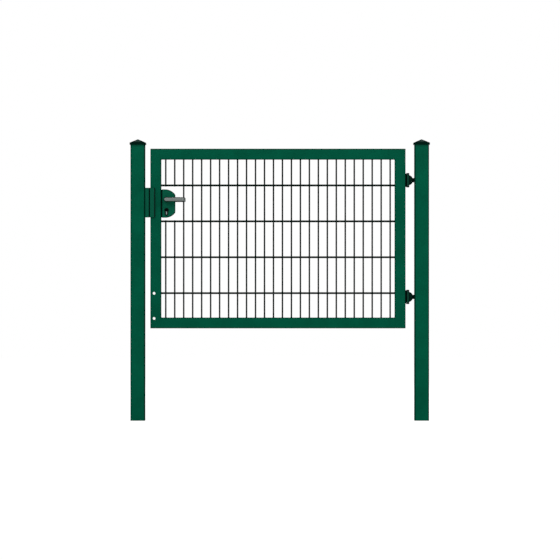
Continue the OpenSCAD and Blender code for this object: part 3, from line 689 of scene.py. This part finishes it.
FINISHES = {
    "post_powder_coat": post_coat,
    "frame_powder_coat": leaf_coat,
    "lock_powder_coat": lock_coat,
    "keep_powder_coat": keep_coat,
    "wire_powder_coat": wire_coat,
    "hinge_black": hinge_coat,
    "black_plastic": escutcheon_plastic,
    "black_rubber": buffer_rubber,
    "lever_grey": lever_metal,
    "stainless": plate_metal,
    "zinc_steel": zinc_metal,
    "cylinder_nickel": cylinder_metal,
    "plug_dark": plug_metal,
}


def finish(slot):
    """The material of one of the record's slots, made on its first use."""
    name = "finish_" + slot
    return bpy.data.materials.get(name) or FINISHES[slot](name)


# ---- Pieces ----


def dress(*nodes, look=None):
    """Gives nodes of the frame the finish of their slots, or a look of their own."""
    for node in nodes:
        for slot in frame["nodes"][node].material_slots:
            slot.material = look or finish(SLOT_OF_NODE[node])


def soften(node, width, sharp=40.0):
    """Rounds the edges that are sharper than an angle and shades a node's curves smoothly."""
    piece = frame["nodes"][node]
    piece.data.shade_smooth()
    weld = piece.modifiers.new("One skin", "WELD")
    weld.merge_threshold = 0.01 * MM
    planes = piece.modifiers.new("Whole planes", "DECIMATE")
    planes.decimate_type = "DISSOLVE"
    planes.angle_limit = math.radians(1.0)
    edges = piece.modifiers.new("Rounded edges", "BEVEL")
    edges.width = width
    edges.segments = 2
    edges.limit_method = "ANGLE"
    edges.angle_limit = math.radians(sharp)
    edges.harden_normals = True
    normals = piece.modifiers.new("Flat planes", "WEIGHTED_NORMAL")
    normals.keep_sharp = True
    normals.weight = 80


def new_piece(name, mesh_in_hand, body, slot, sharp=35.0):
    """Turns finished mesh work into a piece that rides on a body and takes a slot's finish."""
    mesh = bpy.data.meshes.new(name)
    bmesh.ops.recalc_face_normals(mesh_in_hand, faces=mesh_in_hand.faces)
    mesh_in_hand.to_mesh(mesh)
    mesh_in_hand.free()
    mesh.shade_smooth()
    mesh.set_sharp_from_angle(angle=math.radians(sharp))
    mesh.materials.append(finish(slot))
    piece = bpy.data.objects.new(name, mesh)
    bpy.context.scene.collection.objects.link(piece)
    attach(piece, body)
    return piece


def stand(point, direction):
    """A place whose origin is the point and whose Z axis is the direction."""
    turn = Vector(direction).to_track_quat("Z", "Y").to_matrix().to_4x4()
    return Matrix.Translation(point) @ turn


def ring(place, radius, height, sides, flats=0):
    """Points round a place's Z axis, on a circle or on a polygon with that many flats."""
    points = []
    for side in range(sides):
        angle = 2 * math.pi * side / sides
        reach = radius
        if flats:
            half = math.pi / flats
            reach = radius / math.cos(angle % (2 * half) - half)
        points.append(place @ Vector((reach * math.cos(angle), reach * math.sin(angle), height)))
    return points


def loft(work, rings):
    """Skins a row of closed rings of points and closes both ends."""
    rows = [[work.verts.new(point) for point in points] for points in rings]
    for low, high in zip(rows, rows[1:]):
        for i in range(len(low)):
            j = (i + 1) % len(low)
            work.faces.new((low[i], low[j], high[j], high[i]))
    work.faces.new(rows[0][::-1])
    work.faces.new(rows[-1])


def lathe(work, place, profile, sides):
    """Turns a profile of (radius, height) pairs about a place's Z axis."""
    loft(work, [ring(place, radius, height, sides) for radius, height in profile])


def bead_taper(run):
    """Size of a weld bead at a share of its run: full, and drawn in at both ends."""
    end_size = 0.3
    bluntness = 12
    return end_size + (1.0 - end_size) * (1.0 - abs(2 * run - 1) ** bluntness) ** 0.5


def weld_bead(work, start, end, across, up, width):
    """A rippled fillet of weld along the corner between two faces."""
    along = end - start
    ripples = along.length / sizes().bead_ripple
    count = max(8, round(4 * ripples))
    chords = 6
    bow = 0.35  # how far the middle of a ripple runs ahead of its ends, in ripples
    swell = 0.06
    root = 0.3
    rings = []
    for i in range(count + 1):
        run = i / count
        centre = start + along * run
        points = [centre - (across + up) * width * root]
        for k in range(chords + 1):
            turn = math.pi / 2 * k / chords
            wave = run * ripples - bow * math.sin(2 * turn)
            reach = width * bead_taper(run) * (1 + swell * math.cos(2 * math.pi * wave))
            points.append(centre + reach * (across * math.cos(turn) + up * math.sin(turn)))
        rings.append(points)
    loft(work, rings)


# Dome of a screw head: shares of its radius and of its rise, from the seat to the flat top
SCREW_DOME = ((1.0, 0.15), (0.93, 0.5), (0.75, 0.88), (0.58, 1.0))


def screw(work, place, head):
    """A raised screw head with a hexagon socket."""
    radius = head / 2
    rise = 0.12 * head
    sides = 24
    seat = -0.2 * MM
    socket = 0.42 * radius
    socket_draft = 0.02 * radius
    socket_floor = 0.1 * MM
    rings = [ring(place, radius, seat, sides)]
    rings += [ring(place, share * radius, height * rise, sides) for share, height in SCREW_DOME]
    rings.append(ring(place, socket, rise, sides, flats=6))
    rings.append(ring(place, socket - socket_draft, socket_floor, sides, flats=6))
    loft(work, rings)


# ---- Posts, caps and frame ----


class GATE_OT_posts(Operator):
    """Coats both posts and paints shade on them just under their caps"""

    bl_idname = "gate.posts"
    bl_label = "Posts"

    def execute(self, context):
        dress("hinge_post", "lock_post")
        return {"FINISHED"}


class GATE_OT_caps(Operator):
    """Finishes both post caps in moulded plastic"""

    bl_idname = "gate.caps"
    bl_label = "Post caps"

    def execute(self, context):
        look = cap_with_slope_sheen("finish_caps")
        for node in ("hinge_post_cap", "lock_post_cap"):
            dress(node, look=look)
            soften(node, sizes().moulded_round)
        return {"FINISHED"}


def opening():
    """Left, right, lower and upper edge of the leaf's opening."""
    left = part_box("lock_stile")[1].x
    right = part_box("hinge_stile")[0].x
    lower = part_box("bottom_rail")[1].z
    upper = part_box("top_rail")[0].z
    return left, right, lower, upper


class GATE_OT_leaf_frame(Operator):
    """Coats the leaf's frame and welds its inner corners"""

    bl_idname = "gate.leaf_frame"
    bl_label = "Leaf frame"

    def execute(self, context):
        dress("lock_stile", "hinge_stile", "top_rail", "bottom_rail")
        left, right, lower, upper = opening()
        frame_corner = 4 * MM
        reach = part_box("lock_stile")[1].y - frame_corner
        work = bmesh.new()
        for x, across in ((left, RIGHT), (right, LEFT)):
            for z, up in ((lower, UP), (upper, DOWN)):
                weld_bead(work, Vector((x, -reach, z)), Vector((x, reach, z)), across, up,
                          sizes().bead_width)
        new_piece("frame_corner_welds", work, "gate_leaf", "frame_powder_coat")
        return {"FINISHED"}


# ---- Wire mesh ----

# Profiles round a wire's end: how far each point stands out from the wire, and its height
WELD_COLLAR = ((1.5 * MM, -0.3 * MM), (1.3 * MM, 0.5 * MM), (0.6 * MM, 1.1 * MM), (0.0, 2.2 * MM))
CUT_EDGE = ((-0.6 * MM, 0.0), (0.0, 0.6 * MM))
# Profile of the weld between two crossing wires: its radius, and its height along Y
NUGGET = ((2.2 * MM, -1.5 * MM), (3.3 * MM, -0.8 * MM), (3.7 * MM, 0.0),
          (3.5 * MM, 0.8 * MM), (2.6 * MM, 1.6 * MM))
WIRE_SIDES = 16
NUGGET_SIDES = 10


def upright_places():
    """X of every upright wire, with equal margins at both ends of the opening."""
    left, right, _, _ = opening()
    pitch = sizes().wire_pitch
    rounding = 0.001
    count = math.floor((right - left) / pitch + rounding)
    margin = (right - left - (count - 1) * pitch) / 2
    return [left + margin + i * pitch for i in range(count)]


def cross_places():
    """Z of every pair of cross wires."""
    _, _, lower, upper = opening()
    first = lower + sizes().first_cross
    room = upper - sizes().cross_wire - first
    count = 1 + math.floor(room / sizes().cross_pitch)
    return [first + i * sizes().cross_pitch for i in range(count)]


def lock_window():
    """Left end of the full wires, and lower and upper cross wires round the lock case."""
    low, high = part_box("lock_case")
    clear = sizes().lock_clear
    below = max(z for z in cross_places() if z <= low.z - clear)
    above = min(z for z in cross_places() if z >= high.z + clear)
    return high.x + clear, below, above


def wire_profile(diameter, length, welded_start, welded_end):
    """Profile of a wire with a weld collar or a cut edge at each end."""
    radius = diameter / 2
    start = WELD_COLLAR if welded_start else CUT_EDGE
    end = WELD_COLLAR if welded_end else CUT_EDGE
    near = [(radius + out, height) for out, height in start]
    far = [(radius + out, length - height) for out, height in reversed(end)]
    return near + far


def add_wire(work, start, end, diameter, welded_start=True, welded_end=True):
    """A straight round wire between two points."""
    along = end - start
    profile = wire_profile(diameter, along.length, welded_start, welded_end)
    lathe(work, stand(start, along), profile, WIRE_SIDES)


def add_uprights(work):
    """The upright wires, interrupted at the lock."""
    _, _, lower, upper = opening()
    window_x, below, above = lock_window()
    past_axis = 0.6 * sizes().cross_wire
    thickness = sizes().upright_wire
    for x in upright_places():
        foot = Vector((x, 0, lower))
        head = Vector((x, 0, upper))
        if x >= window_x:
            add_wire(work, foot, head, thickness)
        else:
            add_wire(work, foot, Vector((x, 0, below + past_axis)), thickness, True, False)
            add_wire(work, Vector((x, 0, above - past_axis)), head, thickness, False, True)


def cross_offset():
    """Distance of the cross wires' axes from the leaf's middle plane."""
    return (sizes().upright_wire + sizes().cross_wire) / 2 - sizes().wire_sink


def add_nugget(work, x, y, z, side):
    """The small squeezed weld where an upright and a cross wire meet."""
    contact = Vector((x, side * (sizes().upright_wire - sizes().wire_sink) / 2, z))
    lathe(work, stand(contact, BACK * side), NUGGET, NUGGET_SIDES)


class GATE_OT_wire_mesh(Operator):
    """Builds the round double-wire mesh with a weld at every crossing"""

    bl_idname = "gate.wire_mesh"
    bl_label = "Wire mesh"

    def execute(self, context):
        left, right, _, _ = opening()
        uprights = bmesh.new()
        add_uprights(uprights)
        crosses = bmesh.new()
        welds = bmesh.new()
        for z in cross_places():
            for side in (-1, 1):
                y = side * cross_offset()
                add_wire(crosses, Vector((left, y, z)), Vector((right, y, z)), sizes().cross_wire)
                for x in upright_places():
                    add_nugget(welds, x, y, z, side)
        slot = "wire_powder_coat"
        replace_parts(new_piece("upright_wires", uprights, "gate_leaf", slot), "mesh_panel")
        new_piece("cross_wires", crosses, "gate_leaf", slot)
        new_piece("wire_welds", welds, "gate_leaf", slot)
        return {"FINISHED"}


# ---- Lock ----


class GATE_OT_lock(Operator):
    """Finishes the lock case, its face plate and bolts, and adds their screws"""

    bl_idname = "gate.lock"
    bl_label = "Lock"

    def execute(self, context):
        dress("lock_case", "lock_face_plate", "latch_bolt", "dead_bolt", "front_rose", "back_rose")
        soften("lock_case", sizes().forged_round)
        for node in ("lock_face_plate", "latch_bolt", "dead_bolt"):
            soften(node, sizes().turned_round)
        for node in ("front_rose", "back_rose"):
            soften(node, sizes().rose_round)
        self.add_plate_screws()
        self.add_cover_screws()
        return {"FINISHED"}

    def add_plate_screws(self):
        """Two fixing screws and the cylinder's own screw in the face plate."""
        low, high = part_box("lock_face_plate")
        inset = 8 * MM
        below_cylinder = 18 * MM
        plug_low, plug_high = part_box("cylinder_plugs")
        cylinder_z = (plug_low.z + plug_high.z) / 2
        head = sizes().screw_head
        cylinder_screw = 0.8 * head
        work = bmesh.new()
        for z in (low.z + inset, high.z - inset):
            screw(work, stand(Vector((low.x, 0, z)), LEFT), head)
        point = Vector((low.x, 0, cylinder_z - below_cylinder))
        screw(work, stand(point, LEFT), cylinder_screw)
        new_piece("face_plate_screws", work, "gate_leaf", "stainless")

    def add_cover_screws(self):
        """Two screws through the back cover."""
        low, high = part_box("lock_case")
        inset = 16 * MM
        work = bmesh.new()
        for z in (low.z + inset, high.z - inset):
            screw(work, stand(Vector((low.x + inset, high.y, z)), BACK), sizes().screw_head)
        new_piece("lock_cover_screws", work, "gate_leaf", "stainless")


class GATE_OT_cylinder(Operator):
    """Finishes the profile cylinder, its plugs and the escutcheons"""

    bl_idname = "gate.cylinder"
    bl_label = "Cylinder"

    def execute(self, context):
        dress("profile_cylinder", "cylinder_plugs", "front_escutcheon", "back_escutcheon")
        soften("profile_cylinder", sizes().turned_round)
        soften("cylinder_plugs", sizes().plug_round)
        for node in ("front_escutcheon", "back_escutcheon"):
            soften(node, sizes().moulded_round)
        return {"FINISHED"}


class GATE_OT_levers(Operator):
    """Finishes both levers and the spindle, and adds the levers' grub screws"""

    bl_idname = "gate.levers"
    bl_label = "Levers"

    def execute(self, context):
        dress("front_lever", "back_lever", "lever_spindle")
        for node in ("front_lever", "back_lever"):
            soften(node, sizes().grip_round)
        pivot = Vector(next(j["pos_m"] for j in frame["joints"] if j["name"] == "lever_turn"))
        neck_radius = 8 * MM
        from_middle = 40 * MM
        work = bmesh.new()
        for side in (-1, 1):
            point = Vector((pivot.x, side * from_middle, pivot.z - neck_radius))
            screw(work, stand(point, DOWN), sizes().grub_screw)
        new_piece("lever_grub_screws", work, "lever_set", "zinc_steel")
        return {"FINISHED"}


# ---- Keep and hinges ----


class GATE_OT_keep(Operator):
    """Finishes the keep and its buffer, and adds the fixing screws in its pockets"""

    bl_idname = "gate.keep"
    bl_label = "Keep"

    def execute(self, context):
        dress("keep", "stop_buffer")
        soften("keep", sizes().grip_round)
        soften("stop_buffer", sizes().rose_round)
        low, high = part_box("keep")
        wall = 4 * MM
        work = bmesh.new()
        for share in (0.25, 0.75):
            z = low.z + (high.z - low.z) * share
            screw(work, stand(Vector((low.x + wall, 0, z)), RIGHT), sizes().keep_screw)
        new_piece("keep_screws", work, "posts", "stainless")
        return {"FINISHED"}


class GATE_OT_hinges(Operator):
    """Finishes both adjustable hinges and welds their brackets to the stile"""

    bl_idname = "gate.hinges"
    bl_label = "Hinges"

    def execute(self, context):
        work = bmesh.new()
        highlit = barrel_with_highlight("finish_hinge_eyes")
        short_of_end = 1 * MM
        for side in ("upper", "lower"):
            for part in ("nuts", "bracket", "pin", "washers"):
                dress(f"{side}_hinge_{part}")
            dress(f"{side}_hinge_eye", look=highlit)
            soften(f"{side}_hinge_eye", sizes().forged_round)
            soften(f"{side}_hinge_nuts", sizes().turned_round, sharp=25.0)
            soften(f"{side}_hinge_bracket", sizes().forged_round)
            soften(f"{side}_hinge_pin", sizes().turned_round)
            low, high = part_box(f"{side}_hinge_bracket")
            for y, across in ((low.y, FRONT), (high.y, BACK)):
                start = Vector((low.x, y, low.z + short_of_end))
                end = Vector((low.x, y, high.z - short_of_end))
                weld_bead(work, start, end, across, RIGHT, sizes().hinge_bead)
        new_piece("hinge_bracket_welds", work, "gate_leaf", "hinge_black")
        return {"FINISHED"}


# ---- Stage ----


def camera_like_rays(tree):
    """1 for rays that should see the plain white surroundings, and 0 for all others."""
    rays = add_node(tree, "ShaderNodeLightPath").outputs
    seen = calc(tree, "MAXIMUM", rays["Is Camera Ray"], rays["Is Glossy Ray"])
    return calc(tree, "MAXIMUM", seen, rays["Is Transmission Ray"])


def lay_floor(light):
    """A wide round floor under the posts, white to look at and pale to the light."""
    work = bmesh.new()
    bmesh.ops.create_circle(work, cap_ends=True, radius=light.floor_radius, segments=96)
    mesh = bpy.data.meshes.new("studio_floor")
    work.to_mesh(mesh)
    work.free()
    floor = bpy.data.objects.new("studio_floor", mesh)
    low, high = cad_box
    gap = 0.1 * MM
    floor.location = ((low.x + high.x) / 2, 0, low.z - gap)
    bpy.context.scene.collection.objects.link(floor)
    mesh.materials.append(floor_material(light))


def grey(value):
    """A grey with alpha that a colour socket takes."""
    return (value, value, value, 1.0)


def floor_material(light):
    """White paper that keeps the object's soft shadow."""
    material, tree, shader = new_material("studio_paper")
    tree.nodes.remove(shader)
    glow = add_node(tree, "ShaderNodeEmission", {"Strength": light.floor_glow})
    paper = add_node(tree, "ShaderNodeBsdfDiffuse", {"Color": grey(light.floor_shade)})
    seen = add_node(tree, "ShaderNodeAddShader", {0: glow.outputs[0], 1: paper.outputs[0]})
    pale = add_node(tree, "ShaderNodeBsdfDiffuse", {"Color": grey(light.floor_bounce)})
    choice = add_node(tree, "ShaderNodeMixShader", {
        0: camera_like_rays(tree), 1: pale.outputs[0], 2: seen.outputs[0]})
    tree.links.new(choice.outputs[0], tree.nodes["Material Output"].inputs["Surface"])
    return material


def light_world(light):
    """A soft sky, brighter overhead and dimmer at both ends, white to look at."""
    world = bpy.data.worlds.new("studio_world")
    world.use_nodes = True
    bpy.context.scene.world = world
    tree = world.node_tree
    tree.nodes.clear()
    way = add_node(tree, "ShaderNodeTexCoord").outputs["Generated"]
    parts = add_node(tree, "ShaderNodeSeparateXYZ", {0: way}).outputs
    sky = remap(tree, parts["Z"], 0.0, 1.0, light.sky_low, light.sky_high)
    sideways = times(tree, parts["X"], parts["X"])
    held = calc(tree, "MULTIPLY_ADD", sideways, -light.side_dim, 1.0)
    strength = times(tree, sky, held)
    lit = add_node(tree, "ShaderNodeBackground", {"Color": grey(1.0), "Strength": strength})
    white = add_node(tree, "ShaderNodeBackground", {"Color": grey(1.0), "Strength": 1.0})
    choice = add_node(tree, "ShaderNodeMixShader", {
        0: camera_like_rays(tree), 1: lit.outputs[0], 2: white.outputs[0]})
    output = add_node(tree, "ShaderNodeOutputWorld")
    tree.links.new(choice.outputs[0], output.inputs["Surface"])


def hang_lamp(name, point, target, light, share=1.0):
    """A square soft lamp that looks at the target, with a share of the lamps' full power."""
    data = bpy.data.lights.new(name, "AREA")
    data.size = light.lamp_size
    data.energy = light.lamp_power * share
    lamp = bpy.data.objects.new(name, data)
    lamp.location = point
    lamp.rotation_euler = (target - point).to_track_quat("-Z", "Y").to_euler()
    bpy.context.scene.collection.objects.link(lamp)


def place_camera(light):
    """A long lens straight in front of the gate."""
    data = bpy.data.cameras.new("camera")
    data.lens = light.lens
    data.sensor_width = 36.0
    data.clip_end = 200.0
    camera = bpy.data.objects.new("camera", data)
    camera.location = (light.camera_across, -light.camera_distance, light.camera_height)
    camera.rotation_euler = (math.radians(90), 0, 0)
    bpy.context.scene.collection.objects.link(camera)
    bpy.context.scene.camera = camera


class GATE_OT_stage(Operator):
    """Sets the floor, the light and the camera"""

    bl_idname = "gate.stage"
    bl_label = "Stage"

    def execute(self, context):
        light = context.scene.gate_light
        low, high = cad_box
        middle = (low + high) / 2
        right = Vector(light.front_lamp)
        left = Vector((-right.x, right.y, right.z))
        behind = Vector(light.back_lamp)
        lay_floor(light)
        light_world(light)
        hang_lamp("front_lamp_left", middle + left, middle, light)
        hang_lamp("front_lamp_right", middle + right, middle, light)
        hang_lamp("back_lamp", middle + behind, middle, light, light.back_lamp_share)
        place_camera(light)
        context.scene.view_settings.view_transform = "Standard"
        return {"FINISHED"}


OPERATORS = (
    GATE_OT_posts, GATE_OT_caps, GATE_OT_leaf_frame, GATE_OT_wire_mesh, GATE_OT_lock,
    GATE_OT_cylinder, GATE_OT_levers, GATE_OT_keep, GATE_OT_hinges, GATE_OT_stage,
)


class GATE_PT_panel(Panel):
    """Lists the gate's pieces, its stage and what can be changed on them"""

    bl_label = "Tubular Frame Gate"
    bl_idname = "GATE_PT_panel"
    bl_space_type = "VIEW_3D"
    bl_region_type = "UI"
    bl_category = "Gate"

    def draw(self, context):
        for operator in OPERATORS:
            self.layout.operator(operator.bl_idname)
        for name in ("gate_colours", "gate_sizes", "gate_light"):
            group = getattr(context.scene, name)
            box = self.layout.box()
            for prop in group.__annotations__:
                box.prop(group, prop)


CLASSES = (GateColours, GateSizes, GateLight, *OPERATORS, GATE_PT_panel)


def register():
    for cls in CLASSES:
        bpy.utils.register_class(cls)
    bpy.types.Scene.gate_colours = PointerProperty(type=GateColours)
    bpy.types.Scene.gate_sizes = PointerProperty(type=GateSizes)
    bpy.types.Scene.gate_light = PointerProperty(type=GateLight)


def unregister():
    del bpy.types.Scene.gate_light
    del bpy.types.Scene.gate_sizes
    del bpy.types.Scene.gate_colours
    for cls in reversed(CLASSES):
        bpy.utils.unregister_class(cls)


def main():
    """Dresses the whole gate and sets the stage."""
    register()
    bpy.ops.gate.posts()
    bpy.ops.gate.caps()
    bpy.ops.gate.leaf_frame()
    bpy.ops.gate.wire_mesh()
    bpy.ops.gate.lock()
    bpy.ops.gate.cylinder()
    bpy.ops.gate.levers()
    bpy.ops.gate.keep()
    bpy.ops.gate.hinges()
    bpy.ops.gate.stage()


if __name__ == "__main__":
    main()
